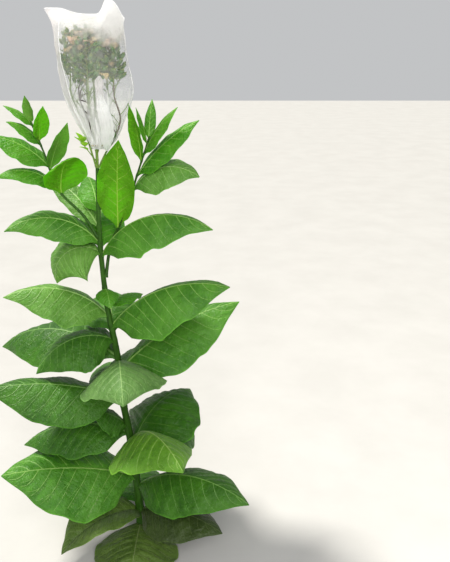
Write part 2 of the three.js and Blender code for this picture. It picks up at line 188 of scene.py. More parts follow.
def hump(x, width):
    """A smooth hump of height 1 round 0."""
    return np.exp(-((x / width) ** 2))


def heading(azimuth, rise=0.0):
    """A direction of level length 1, with a rise."""
    return np.array([math.cos(azimuth), math.sin(azimuth), rise])


def around(count, shift=0.0):
    """Angles evenly round a circle, shifted by a share of one step."""
    return (np.arange(count) + shift) * TURN / count


def dice(seed):
    """The source's repeatable run of shares between 0 and 1."""
    state = seed
    while True:
        state = (state * 16807) % 2147483647
        yield state / 2147483647


def between(roll, low, high):
    return lerp(low, high, next(roll))


def numbered(name, count):
    return [f"{name}_{k + 1:02d}" for k in range(count)]


# Meshes

EDGE_ANGLE = 50    # degrees between faces from which an edge looks sharp
NO_SHARP_EDGES = 180


def new_object(name, data):
    made = bpy.data.objects.new(name, data)
    bpy.context.scene.collection.objects.link(made)
    return made


class Batch:
    """Rings of points gathered from many parts, made into one mesh object at the end."""

    def __init__(self):
        self.points = []
        self.faces = []
        self.kinds = []
        self.count = 0

    def loft(self, rings, kinds=0, capped=True):
        """Quads through rings (rows, columns, 3). kinds, the materials' numbers, is one number or
        an array that spreads over the rows and columns of quads."""
        rows, columns = rings.shape[:2]
        r, c = np.meshgrid(np.arange(rows - 1), np.arange(columns), indexing="ij")
        d = (c + 1) % columns
        corners = [(r, c), (r, d), (r + 1, d), (r + 1, c)]
        quads = np.stack([row * columns + column for row, column in corners], -1).reshape(-1, 4)
        face_kinds = np.broadcast_to(kinds, (rows - 1, columns)).reshape(-1)
        if capped:
            k = np.arange(columns // 2 - 1)
            near = np.stack([columns - 1 - k, columns - 2 - k, k + 1, k], -1)
            quads = np.vstack([quads, near, near[:, ::-1] + (rows - 1) * columns])
            face_kinds = np.concatenate([face_kinds, np.full(2 * len(k), face_kinds[0])])
        self.points.append(rings.reshape(-1, 3))
        self.faces.append(quads + self.count)
        self.kinds.append(face_kinds)
        self.count += rows * columns

    def build(self, name, materials, slot, replaced=(), sharp=EDGE_ANGLE):
        mesh = bpy.data.meshes.new(name)
        points = np.vstack(self.points) * MM
        faces = np.vstack(self.faces)
        mesh.vertices.add(len(points))
        mesh.vertices.foreach_set("co", points.astype(np.float32).ravel())
        mesh.loops.add(faces.size)
        mesh.loops.foreach_set("vertex_index", faces.astype(np.int32).ravel())
        mesh.polygons.add(len(faces))
        mesh.polygons.foreach_set("loop_start", np.arange(0, faces.size, 4, dtype=np.int32))
        mesh.polygons.foreach_set("material_index", np.concatenate(self.kinds).astype(np.int32))
        mesh.update(calc_edges=True)
        mesh.validate()
        mesh.shade_smooth()
        mesh.set_sharp_from_angle(angle=radians(sharp))
        for material in materials:
            mesh.materials.append(material)
        piece = new_object(name, mesh)
        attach(piece, "root")
        if replaced:
            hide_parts(*replaced)


def square_to(directions):
    """Two directions square to each of some directions that never run straight back."""
    across = unit(np.cross(BACK, directions))
    return across, unit(np.cross(directions, across))


def spokes(across, other, angle, depth=1.0):
    """Directions at some angles in the plane of two others. depth stretches the second one."""
    level = across[..., None, :] * np.cos(angle)[:, None]
    return level + other[..., None, :] * (depth * np.sin(angle))[:, None]


def tube(points, radii, sides):
    """Rings round a line of points."""
    across, other = square_to(unit(np.gradient(points, axis=0)))
    radii = np.broadcast_to(radii, len(points))[:, None, None]
    return points[:, None] + spokes(across, other, around(sides)) * radii


def lathe(foot, direction, profile, sides):
    """Rings round a straight line. profile is rows of distance along and radius."""
    along, radius = profile.T[:, :, None, None]
    return foot + along * direction + spokes(*square_to(direction), around(sides)) * radius


# Materials

def node(tree, kind, inputs=(), **settings):
    """The outputs of a new shader node. Inputs are (name or number, value or socket) pairs."""
    made = tree.nodes.new(kind)
    for key, value in settings.items():
        setattr(made, key, value)
    for key, value in inputs:
        if isinstance(value, bpy.types.NodeSocket):
            tree.links.new(value, made.inputs[key])
        else:
            made.inputs[key].default_value = value
    return made.outputs


def new_material(name):
    material = bpy.data.materials.new(name)
    material.use_nodes = True
    tree = material.node_tree
    tree.nodes.clear()
    return material, tree, node(tree, "ShaderNodeTexCoord")["Object"]


def noise(tree, place, scale, detail=2.0, roughness=0.5):
    pairs = [("Vector", place), ("Scale", scale), ("Detail", detail), ("Roughness", roughness)]
    return node(tree, "ShaderNodeTexNoise", pairs)[0]


def stretched(tree, place, scale):
    return node(tree, "ShaderNodeMapping", [("Vector", place), ("Scale", scale)])[0]


def spread(tree, value, low, high, to_low, to_high):
    pairs = [(0, value), (1, low), (2, high), (3, to_low), (4, to_high)]
    return node(tree, "ShaderNodeMapRange", pairs)[0]


def blend(tree, share, first, second):
    pairs = [(0, share), (6, first), (7, second)]
    return node(tree, "ShaderNodeMix", pairs, data_type="RGBA")[2]


def mottled(tree, value, first, second, low=0.35, high=0.65, most=1.0):
    """The first colour, with the second in it up to a share where a value is high."""
    return blend(tree, spread(tree, value, low, high, 0.0, most), first, second)


def worked_out(tree, operation, *values, **settings):
    return node(tree, "ShaderNodeMath", enumerate(values), operation=operation, **settings)[0]


def bump(tree, height, distance, normal=None):
    pairs = [("Height", height), ("Distance", distance)] + ([("Normal", normal)] if normal else [])
    return node(tree, "ShaderNodeBump", pairs)[0]


def solid_shader(tree, base, rough, relief, specular=0.5):
    pairs = [("Base Color", base), ("Roughness", rough), ("Normal", relief)]
    pairs.append(("Specular IOR Level", specular))
    return node(tree, "ShaderNodeBsdfPrincipled", pairs)[0]


def through_shader(tree, glow, relief):
    return node(tree, "ShaderNodeBsdfTranslucent", [("Color", glow), ("Normal", relief)])[0]


def mixed(tree, share, first, second):
    return node(tree, "ShaderNodeMixShader", [(0, share), (1, first), (2, second)])[0]


def finished(material, shader):
    node(material.node_tree, "ShaderNodeOutputMaterial", [("Surface", shader)])
    return material


def colour(red, green, blue):
    """A linear colour from the 0 to 255 values that a screen shows."""
    def linear(v):
        v /= 255
        return v / 12.92 if v <= 0.04045 else ((v + 0.055) / 1.055) ** 2.4

    return (linear(red), linear(green), linear(blue), 1.0)


def shaded(tint, share):
    return tuple(share * v for v in tint[:3]) + (1.0,)


def leaf_material(name, light, dark, glow, glow_share, gloss=(0.36, 0.55)):
    """A blade with broad mottling, a fine net of veins and light coming through it."""
    material, tree, place = new_material(name)
    broad = noise(tree, place, 11, 3)
    fine = noise(tree, place, 120, 4, 0.6)
    patches = noise(tree, place, 34, 3, 0.6)
    pairs = [("Vector", place), ("Scale", 95)]
    cells = node(tree, "ShaderNodeTexVoronoi", pairs, feature="DISTANCE_TO_EDGE")
    net = spread(tree, cells["Distance"], 0.0, 0.16, 1.0, 0.0)
    base = mottled(tree, broad, dark, light, 0.38, 0.62)
    base = mottled(tree, fine, base, light, 0.3, 0.7, 0.3)
    base = mottled(tree, patches, base, shaded(light, 1.5), 0.5, 0.7, 0.32)
    base = mottled(tree, net, base, shaded(light, 1.45), 0.0, 1.0, 0.14)
    relief = bump(tree, spread(tree, net, 0.0, 1.0, 0.5, 0.0), 0.0012)
    relief = bump(tree, noise(tree, place, 45, 3), 0.006, relief)
    relief = bump(tree, noise(tree, place, 110, 2), 0.002, relief)
    body = solid_shader(tree, base, spread(tree, fine, 0.3, 0.7, *gloss), relief, 0.3)
    return finished(material, mixed(tree, glow_share, body, through_shader(tree, glow, relief)))


def stalk_material(name, light, dark):
    """Green rind with lengthwise streaks and pale specks."""
    material, tree, place = new_material(name)
    streaks = noise(tree, stretched(tree, place, (60, 60, 9)), 3, 4, 0.6)
    specks = noise(tree, place, 240, 3)
    base = mottled(tree, streaks, dark, light)
    base = mottled(tree, specks, base, shaded(light, 2.2), 0.55, 0.7, 0.22)
    rough = spread(tree, specks, 0.3, 0.7, 0.45, 0.65)
    return finished(material, solid_shader(tree, base, rough, bump(tree, streaks, 0.0015), 0.25))


# Heights in metres between which the bag's cloth thickens, towards its seam and to its mouth
SEAM_VEIL = (1.67, 1.737)
MOUTH_VEIL = (1.53, 1.44)
VEIL_SLANT = 0.34    # how much lower the seam's veil comes for each metre to the right
VEIL_CLOUDS = 0.07    # how far in metres clouds make it uneven


def cloth_material(name, solid, tint=(1.0, 1.0, 1.0), mouth=0.5):
    """White bonded cloth. solid is how much of it a look meets, from its thinnest to its thickest,
    and mouth is how much more where it is gathered below the flower head."""
    material, tree, place = new_material(f"bag_cloth_{name}")
    fibres = noise(tree, stretched(tree, place, (1, 1, 2.5)), 420, 4, 0.7)
    clouds = noise(tree, place, 26, 4, 0.6)
    thin, dense = (tuple(v * k for k in tint) + (1.0,) for v in (0.9, 0.98))
    base = mottled(tree, clouds, thin, dense)
    relief = bump(tree, fibres, 0.0006)
    cloth = solid_shader(tree, base, 0.85, relief, 0.3)
    cloth = mixed(tree, 0.6, cloth, through_shader(tree, base, relief))
    place = node(tree, "ShaderNodeSeparateXYZ", [(0, place)])
    level = worked_out(tree, "MULTIPLY_ADD", clouds, VEIL_CLOUDS, place["Z"])
    level = worked_out(tree, "MULTIPLY_ADD", place["X"], VEIL_SLANT, level)
    near_seam = spread(tree, level, *SEAM_VEIL, 0.0, 1.0 - solid[0])
    near_mouth = spread(tree, place["Z"], *MOUTH_VEIL, 0.0, mouth)
    share = spread(tree, blend(tree, 0.45, clouds, fibres), 0.3, 0.7, *solid)
    for more in (near_seam, near_mouth):
        share = worked_out(tree, "ADD", share, more, use_clamp=True)
    clear = node(tree, "ShaderNodeBsdfTransparent")[0]
    return finished(material, mixed(tree, share, clear, cloth))


def plain_material(name, light, dark, scale, rough=0.7):
    """A dull surface with small mottling, for seed capsules, dried flowers and twine."""
    material, tree, place = new_material(name)
    spots = noise(tree, place, scale, 4, 0.6)
    base = mottled(tree, spots, dark, light)
    return finished(material, solid_shader(tree, base, rough, bump(tree, spots, 0.0012)))


# Stem and shoots

STEM_MESH = (420, 40)    # stations and sides
SHOOT_MESH = (150, 14)
STEM_RIDGES = 7
STEM_RIDGE = 0.35
RIDGE_TWIST = 90    # height in which the ridges turn by one radian of their wave
# Extra radius, length along the limb and half angle of the swelling at a leaf and of the rib that
# runs down from it
SWELLING = (1.5, 7, 0.7)
RIB = (1.1, 38, 0.25)
# Extra radius and share of its length of the swelling at a shoot's leaf and at its own foot
SHOOT_SWELLING = (0.9, 0.014)
COLLAR = (2.5, 0.02)


def stem_radius(height):
    taper = lerp(STEM_FOOT_RADIUS, STEM_TOP_RADIUS, height / STEM_TOP)
    return taper + ROOT_FLARE * np.exp(-height / FLARE_HEIGHT)


def stem_rings():
    """The main stem with low ridges, a swelling at each leaf and a rib that runs down from it."""
    stations, sides = STEM_MESH
    centre = stem_line(shares(stations))
    height = centre[:, 2:]
    angle = around(sides)
    radius = stem_radius(height) + STEM_RIDGE * np.sin(STEM_RIDGES * angle + height / RIDGE_TWIST)
    for at, azimuth, *_ in MAIN_LEAVES:
        turn = (angle - radians(azimuth) + math.pi) % TURN - math.pi
        above = height - at
        extra, length, half_angle = SWELLING
        radius = radius + extra * (0.5 + hump(turn, half_angle)) * hump(above, length)
        extra, length, half_angle = RIB
        radius = radius + extra * hump(turn, half_angle) * np.exp(above / length) * (above < 0)
    return centre[:, None] + spokes(RIGHT, BACK, angle) * radius[..., None]


def shoot_rings(line, foot_radius, tip_radius, leaves):
    """A side shoot, swollen at its foot and where its leaves stand."""
    stations, sides = SHOOT_MESH
    u = shares(stations)
    radius = lerp(foot_radius, tip_radius, u) + COLLAR[0] * np.exp(-u / COLLAR[1])
    for along, *_ in leaves:
        radius = radius + SHOOT_SWELLING[0] * hump(u - along, SHOOT_SWELLING[1])
    return tube(line(u), radius, sides)


def make_stems():
    rind = stalk_material("stem_rind", colour(50, 92, 16), colour(32, 66, 8))
    skin = Batch()
    skin.loft(stem_rings())
    skin.build("stem_skin", [rind], "stem", ["stem"])
    shoots = Batch()
    shoots.loft(shoot_rings(left_shoot_line, 5, 2.2, LEFT_LEAVES))
    shoots.loft(shoot_rings(right_shoot_line, 5.5, 2.2, RIGHT_LEAVES))
    shoots.build("shoot_skins", [rind], "stem", ["shoot_left", "shoot_right"])


# Leaves

# Each tone: the upper side's light and dark colour, the underside's, the light through it and
# its veins' colour, then the share of the light through it.
TONES = {
    # A darker copy of the leaf colours with painted shade, for the leaves that sit in shade below others.
    "shade_dark": ((64, 114, 26), (42, 88, 15), (96, 134, 62), (96, 176, 16), (104, 150, 62), 0.2),
    "broad": ((84, 140, 42), (56, 112, 22), (112, 148, 74), (104, 188, 18), (132, 176, 80), 0.22),
    "pale": ((106, 154, 64), (80, 132, 42), (128, 162, 88), (126, 196, 26), (150, 190, 104), 0.24),
    "warm": ((104, 152, 46), (78, 128, 28), (120, 152, 74), (116, 190, 18), (144, 180, 84), 0.22),
    "sunny": ((98, 136, 70), (78, 118, 52), (116, 146, 80), (112, 178, 38), (132, 168, 94), 0.17),
    "dusty": ((90, 116, 48), (68, 94, 32), (100, 112, 70), (100, 140, 40), (122, 140, 84), 0.14),
    "shady": ((58, 76, 30), (42, 58, 20), (66, 80, 42), (80, 110, 30), (84, 102, 52), 0.12),
    "fresh": ((88, 150, 34), (60, 124, 18), (112, 160, 60), (130, 214, 16), (136, 186, 76), 0.34),
    "lit": ((104, 162, 22), (80, 142, 12), (104, 158, 24), (150, 232, 8), (150, 196, 60), 0.48),
}
YOUNG_TONES = ("fresh", "lit")

# The source's rule for the outline and the section of a blade
WIDEST = 0.44
FULLNESS = 0.78
FOOT_SHARE = 0.12
POINT_FROM = 0.78
POINT_LOSS = 0.3
LEAST_HALF_WIDTH = 1.5
ARCH = 0.25
FLOOR_SQUASH = 0.5

# Finer detail that only this script makes, with heights as shares of the leaf's width
BLADE_THICKNESS = 0.9
INNER_SHARE = 0.98    # share of a blade's half width inside its margin, which is painted lighter as a highlight
MOST_TWIST = 9
WAVES = (2.4, 3.6)    # least and most waves along a margin
WAVE = 0.026
FINE_WAVES = 2.3    # number and height of the finer waves over those of the others
FINE_WAVE = 0.22
OUTLINE_WAVES = 3.3
OUTLINE_WAVE = 0.012
QUILTING = 0.018
PUCKERING = 0.007
GROOVE = 0.012
GROOVE_WIDTH = 7
# The third kind of face is a thin rim round each blade, painted lighter than the upper side as a
# highlight where light catches the edge.
UPPER_SIDE, UNDERSIDE, PAINTED_RIM = range(3)

# Veins, with radii at the foot and the tip as shares of the leaf's length
VEIN_SLANT = (0.13, 0.07)    # how far a side vein runs along the leaf on its way to the margin
VEIN_STAGGER = 0.15
VEIN_WOBBLE = 0.008
VEIN_REACH = 0.93
VEINS_END = 0.965
VEIN_SINK = 0.45    # share of its radius by which a side vein lies below the surface
VEIN_RADII = (0.0034, 0.0009)
FORK_RADII = (0.0014, 0.0006)
FORK_SLANT = 0.11
FORK_REACH = 0.34
FORKS_END = 0.95
MIDRIB_RADII = (0.009, 0.001)
MIDRIB_END = 0.985
MIDRIB_HEIGHTS = (0.42, 1.15)    # over its half width: above the blade and below it


def blade_share(t):
    """Half width of a blade over its greatest, from its winged foot to its drawn-out tip."""
    body = np.sin(np.pi * t ** (math.log(0.5) / math.log(WIDEST))).clip(0) ** FULLNESS
    point = 1 - POINT_LOSS * ((t - POINT_FROM) / (1 - POINT_FROM)).clip(0) ** 1.5
    return body * (t / FOOT_SHARE).clip(0, 1) * point + LEAF_WING_SHARE * (1 - t) ** 2


class Leaf:
    """One leaf by the source's rule, with waves, quilting and the groove of its midrib."""

    def __init__(self, row, foot, seed, pairs):
        _, azimuth, reach, tip, bend, width, roll, fold, self.tone = row
        roll_of = np.random.default_rng(seed)
        self.out = heading(radians(azimuth))
        self.side = np.cross(UP, self.out)
        self.foot, self.width, self.pairs = foot, width, pairs
        self.bend = radians(bend)
        self.rise = math.atan2(tip - foot[2], reach) + self.bend / 2
        self.length = math.hypot(reach, tip - foot[2]) * (self.bend / 2) / math.sin(self.bend / 2)
        self.roll, self.fold = radians(roll), radians(fold)
        self.twist = radians(roll_of.uniform(-MOST_TWIST, MOST_TWIST))
        self.phases = roll_of.uniform(0, TURN, (3, 2))
        self.waves = roll_of.uniform(*WAVES)
        self.floor = None
        t, s = np.meshgrid(shares(30), np.linspace(-1, 1, 15), indexing="ij")
        lowest = self.surface(t, s)[0][..., 2].min()
        if lowest < LOWEST_LEAF_POINT:
            self.floor = lowest

    def relief(self, t, s, left, half):
        """How far waves, quilting, puckers and the midrib's groove lift the upper side."""
        edge = np.abs(s)
        wave = np.sin(TURN * self.waves * t + self.phases[1][left])
        wave = wave + FINE_WAVE * np.sin(TURN * FINE_WAVES * self.waves * t + self.phases[2][left])
        cell = self.pairs * (t - VEIN_SLANT[0] * edge - VEIN_SLANT[1] * edge**2)
        quilt = np.abs(np.sin(np.pi * cell)) ** 0.8 * np.sin(np.pi * edge) ** 0.6
        pucker = np.sin(44 * t + 11 * s + self.phases[0][0]) * np.sin(15 * t - 21 * s + self.phases[0][1])
        detail = WAVE * edge**2.2 * wave + QUILTING * quilt + PUCKERING * pucker * edge
        narrowing = np.sqrt(np.sin(np.pi * t)) * np.minimum(1, 6 * half / self.width)
        groove = GROOVE * (1 - t) * hump(edge * half, GROOVE_WIDTH)
        return self.width * (detail * narrowing - groove)

    def surface(self, t, s):
        """The blade's upper points at shares t along and s across (-1 to 1), and the normals."""
        t, s = np.broadcast_arrays(np.asarray(t, float), np.asarray(s, float))
        slope = self.rise - self.bend * t
        level = self.length / self.bend * (math.sin(self.rise) - np.sin(slope))
        height = self.length / self.bend * (np.cos(slope) - math.cos(self.rise))
        middle = self.foot + level[..., None] * self.out + height[..., None] * UP
        along = np.cos(slope)[..., None] * self.out + np.sin(slope)[..., None] * UP
        bare = np.cross(along, self.side)
        roll = (self.roll + self.twist * (t - 0.4))[..., None]
        across = self.side * np.cos(roll) + bare * np.sin(roll)
        normal = bare * np.cos(roll) - self.side * np.sin(roll)
        left = (s < 0).astype(int)
        outline = 1 + OUTLINE_WAVE * np.sin(TURN * OUTLINE_WAVES * t + self.phases[0][left])
        half = np.maximum(LEAST_HALF_WIDTH, self.width / 2 * blade_share(t) * outline)
        lift = half * (np.abs(s) * math.sin(self.fold) - ARCH * s**2) + self.relief(t, s, left, half)
        places = middle + across * (s * half * math.cos(self.fold))[..., None] + normal * lift[..., None]
        if self.floor is not None:
            low = LOWEST_LEAF_POINT + FLOOR_SQUASH * (places[..., 2] - self.floor)
            places[..., 2] = np.maximum(places[..., 2], low)
        return places, normal

    def blade(self, batch, stations, halves):
        t = shares(stations + 1)[:, None]
        inner = np.linspace(-INNER_SHARE, INNER_SHARE, 2 * halves + 1)
        top, normal = self.surface(t, np.concatenate([[-1.0], inner, [1.0]])[None])
        under = top - normal * BLADE_THICKNESS
        columns = top.shape[1]
        kinds = np.repeat([UPPER_SIDE, UNDERSIDE], [columns - 1, columns + 1])
        # The outermost strips and the edge walls take the rim with the painted highlight.
        kinds[[0, columns - 2, columns - 1, columns, -2, -1]] = PAINTED_RIM
        batch.loft(np.concatenate([top, under[:, ::-1]], 1), kinds)

    def rib(self, batch, kind, t, s, radii, angle, depth=1.0, sink=0.0):
        """A tube along the blade at shares t and s. depth stretches it down, sink lowers it."""
        places, normal = self.surface(t, s)
        across = unit(np.cross(normal, np.gradient(places, axis=0)))
        places = places - normal * (sink * radii)[:, None]
        batch.loft(places[:, None] + spokes(across, normal, angle, depth) * radii[:, None, None], kind)

    def midrib(self, batch, kind):
        """The pale rib: low on the upper side, thick below."""
        t = np.linspace(0, MIDRIB_END, 40)
        angle = around(8)
        above, below = MIDRIB_HEIGHTS
        radii = lerp(*MIDRIB_RADII, t**0.7) * self.length + 0.35
        self.rib(batch, kind, t, 0.0, radii, angle, np.where(np.sin(angle) > 0, above, below))

    def vein_path(self, k, hand, share):
        """Shares along the leaf of a side vein at shares of the way to the margin."""
        t = (k + VEIN_STAGGER * hand) / self.pairs + VEIN_SLANT[0] * share + VEIN_SLANT[1] * share**2
        return t + VEIN_WOBBLE * np.sin(5 * share + 2.4 * k + self.phases[2][0]) * share

    def side_vein(self, batch, kind, k, hand):
        """A side vein, with a fine fork that leaves it half way and runs on towards the tip."""
        angle = around(4, 0.5)
        share = np.linspace(0, VEIN_REACH, 11)
        t = self.vein_path(k, hand, share)
        share, t = share[t < VEINS_END], t[t < VEINS_END]
        if len(t) < 4:
            return
        radii = lerp(*VEIN_RADII, share) * self.length + 0.15
        self.rib(batch, kind, t, share * hand, radii, angle, sink=VEIN_SINK)
        start = 0.42 + 0.2 * math.sin(1.7 * k + self.phases[1][0])
        share = np.linspace(start, min(0.9, start + FORK_REACH), 6)
        t = self.vein_path(k, hand, share) + FORK_SLANT * (share - start)
        if t[-1] <= FORKS_END:
            radii = lerp(*FORK_RADII, shares(6)) * self.length + 0.12
            self.rib(batch, kind, t, share * hand, radii, angle, sink=VEIN_SINK)

    def side_veins(self, batch, kind):
        for hand in (-1, 1):
            for k in range(1, self.pairs):
                self.side_vein(batch, kind, k, hand)


def stem_at(height):
    places = stem_line(shares(4000))
    return places[np.argmin(np.abs(places[:, 2] - height))]


# Each limb's leaves: their nodes' name, rows, place of a foot, first seed, pairs of side veins,
# and stations along a blade with half the number of columns across it
LIMBS = [
    ("leaf", MAIN_LEAVES, stem_at, 100, 11, (72, 17)),
    ("left_shoot_leaf", LEFT_LEAVES, left_shoot_line, 280, 8, (44, 10)),
    ("right_shoot_leaf", RIGHT_LEAVES, right_shoot_line, 300, 8, (44, 10)),
]


def make_leaves():
    ribs, veins = Batch(), Batch()
    rib_rinds, vein_rinds = [], []
    blades = {tone: (Batch(), []) for tone in TONES}
    for prefix, rows, foot_at, seed, pairs, detail in LIMBS:
        for k, (row, name) in enumerate(zip(rows, numbered(prefix, len(rows)))):
            leaf = Leaf(row, foot_at(row[0]), seed + k, pairs)
            batch, names = blades[leaf.tone]
            names.append(name)
            kind = list(TONES).index(leaf.tone)
            leaf.blade(batch, *detail)
            leaf.midrib(ribs, kind)
            leaf.side_veins(veins, kind)
    for tone, (batch, names) in blades.items():
        *tints, share = TONES[tone]
        light, dark, under, glow, vein = (colour(*tint) for tint in tints)
        upper = leaf_material(f"leaf_{tone}_upper", light, dark, glow, share)
        lower = leaf_material(f"leaf_{tone}_under", under, shaded(under, 0.8), glow, share, (0.5, 0.68))
        # The rim's painted highlight: a colour lighter than the upper side, with more light coming
        # through.
        margin = leaf_material(f"leaf_{tone}_margin", shaded(light, 1.6), light, glow, share + 0.12)
        slot = "young_leaf" if tone in YOUNG_TONES else "leaf"
        batch.build(f"leaves_{tone}", [upper, lower, margin], slot, names)
        rib_rinds.append(plain_material(f"midrib_{tone}", vein, shaded(vein, 0.86), 90, 0.5))
        fine = tuple(lerp(v, b, 0.3) for v, b in zip(vein, light))
        vein_rinds.append(plain_material(f"side_vein_{tone}", fine, shaded(fine, 0.85), 90, 0.5))
    ribs.build("leaf_midribs", rib_rinds, "leaf")
    veins.build("leaf_side_veins", vein_rinds, "leaf")


# Flower head

GOLDEN_ANGLE = radians(137.5)
BARE_BELOW = 1552    # height up to which the side branches carry no more than bare twigs
LOW_PODS = {188: 1522}    # the same height for a side branch at an azimuth with lower pods
DRY_FROM = {345: 1380}    # height from which the side branch at an azimuth is brown
WITHERED_ABOVE = 1634    # height from which most pods still carry their withered flower
DROOP = np.array([0, 0, -1.3])

# Distance along and radius of a capsule and of its calyx
CAPSULE = np.array([(2, 0.6), (3, 3.4), (6, 4.7), (10, 5.0), (14, 4.2), (17.5, 2.4), (20, 0.5)])
CALYX = np.array([(-1, 0.8), (0, 2.6), (2.5, 4.6), (6, 5.5), (9.5, 5.6), (11, 5.5)])
CALYX_TOOTH = 5.5
POD_LENGTH = 21
POD_SIDES = 10
# Shares of a dried corolla's length, and its radii there
COROLLA = ([0, 0.45, 0.7, 0.9, 1], [1.6, 2.4, 4.0, 8.0, 6.5])
COROLLA_SIDES = 10
# The section of a bract, in half widths across and along its face
BRACT = [(-1, 0.35), (-0.5, 0.12), (0, 0), (0.5, 0.12), (1, 0.35), (0.5, 0.06), (0, -0.08), (-0.5, 0.06)]
# Room in mm between the bag's cloth and a pod, a dried flower and a twig
POD_ROOM = 6
FLOWER_ROOM = 14
TWIG_ROOM = 8

# Bare forks seen through the front of the bag: points and radius of the twig, where it forks,
# the tips and their radius, and the share and the offset of each bend on the way to a tip.
BARE_FORKS = [
    ([(-90, -30, 1436), (-97, -48, 1470), (-106, -62, 1505)], 2.4, (-106, -62, 1505),
     [(-86, -64, 1550), (-97, -66, 1562), (-77, -68, 1496), (-80, -66, 1524)], 2.2, 0.5, (-4, -3, 3)),
    ([(-86, -22, 1405), (-88, -40, 1445), (-86, -54, 1478)], 2.0, (-87, -47, 1462),
     [(-94, -56, 1474), (-78, -58, 1484), (-88, -60, 1490)], 1.8, 0.6, (0, 0, 0)),
]
LOW_POD_TWIG = [(-27, -4, 1390), (-24, -16, 1394), (-22, -24, 1398)]

# The leafy sprig just outside the bag's mouth, and its bracts: share of its line, azimuth and rise
SPRIG = [(-80, 0, 1322), (-98, -8, 1350), (-112, -13, 1372), (-118, -14, 1384)]
SPRIG_BRACTS = [(0.45, 225, 0.8), (0.62, 270, 1.0), (0.78, 200, 1.2), (0.9, 285, 1.5), (1.0, 235, 2.4)]


def knots(u, count, height, width):
    """Swellings of a stalk, spread evenly along it."""
    return height * hump((u * count) % 1 - 0.5, width)


def twig(start, end, thick, thin, sag=0.0, rise=0.0, steps=6):
    """Rings of a thin twig that sags half way or bends up towards its end."""
    u = shares(steps)[:, None]
    line = lerp(start, end, u) + (rise * u**2 - sag * np.sin(np.pi * u)) * UP
    return tube(line, np.linspace(thick, thin, steps), 6)


def bare_twig(points, radius):
    u = shares(16)
    return tube(smooth_line(points)(u), lerp(radius, 0.5 * radius, u), 6)


def pod(place, direction, size, capsules, calyxes, kind=0):
    """A seed capsule in its five-toothed calyx."""
    capsules.loft(lathe(place, direction, CAPSULE * size, POD_SIDES), kind)
    cup = lathe(place, direction, CALYX * size, POD_SIDES)
    teeth = np.where(np.arange(POD_SIDES) % 2 == 0, CALYX_TOOTH, 0.0)[:, None] * size * direction
    lip = cup[-1] + teeth
    middle = place + direction * CALYX[-1, 0] * size
    calyxes.loft(np.concatenate([cup, lip[None], lerp(lip, middle, 0.12)[None]]))


def dried_flower(place, direction, roll, corollas):
    """A withered corolla that hangs from a pod's tip, twisted and pinched."""
    u = shares(9)[:, None]
    length = between(roll, 20, 28)
    points = place + direction * (14 + 10 * u) + unit(direction + DROOP) * (length * u**1.4)
    rings = tube(points, np.interp(u[:, 0], *COROLLA), COROLLA_SIDES)
    folds = np.sin(3 * np.arange(COROLLA_SIDES) + 4 * u + 6 * next(roll))
    pinch = 1 + (0.15 + 0.3 * u) * folds
    kind = (0, 0, 1, 1, 2)[int(next(roll) * 5)]
    corollas.loft(lerp(points[:, None], rings, pinch[..., None]), kind)


def bract(foot, direction, length, roll, bracts, kind=None, broad=0.17):
    """A narrow leaflet of the flower head, folded along its middle and bent outwards."""
    t = shares(9)[:, None]
    side = unit(np.cross(direction, UP) + 0.01 * BACK)
    face = np.cross(side, direction)
    middle = foot + direction * (length * t) - face * (0.25 * length * t**2 * between(roll, 0.4, 1.4))
    half = broad * length * np.sin(np.pi * t**0.75).clip(0) ** 0.8 + 0.3
    rings = np.stack([middle + side * half * a + face * half * b for a, b in BRACT], 1)
    bracts.loft(rings, int(next(roll) * 2) if kind is None else kind)


def inside_bag(places, room):
    """True if all the places keep some room inside the bag."""
    levels = np.array(BAG_LEVELS, float)
    middle, half, depth = (np.interp(places[..., 2], levels[:, 0], levels[:, k]) for k in (1, 2, 3))
    x = (places[..., 0] - middle) / (half - room)
    y = places[..., 1] / np.maximum(depth - room, 1)
    return bool(((x**2 + y**2) < 1).all() and places[..., 2].max() < levels[-1, 0] - 8)


class Head:
    """The pieces of the flower head, gathered kind by kind."""

    def __init__(self):
        self.stalks, self.twigs, self.capsules, self.calyxes = (Batch() for _ in range(4))
        self.corollas, self.bracts = Batch(), Batch()

    def pod(self, start, end, aim, size, roll):
        """A pod on its own small stalk, high up mostly with a withered flower, if the bag has room."""
        if not inside_bag(np.array([start, end, end + aim * POD_LENGTH * size]), POD_ROOM):
            return
        self.twigs.loft(twig(start, end, 1.0, 0.7, sag=1.5, steps=5))
        pod(end, aim, size, self.capsules, self.calyxes)
        hanging = end + aim * 24 + unit(aim + DROOP) * 28
        chance = 0.9 if end[2] > WITHERED_ABOVE else 0.04
        if next(roll) < chance and inside_bag(hanging, FLOWER_ROOM):
            dried_flower(end, aim, roll, self.corollas)
        if next(roll) < 0.7:
            lean = np.array([next(roll) - 0.5, next(roll) - 0.5, next(roll)])
            away = unit(unit(end - start) + 0.8 * lean)
            length = between(roll, 20, 36)
            if start[2] > BARE_BELOW and inside_bag(start + away * length, POD_ROOM):
                bract(start, away, length, roll, self.bracts)


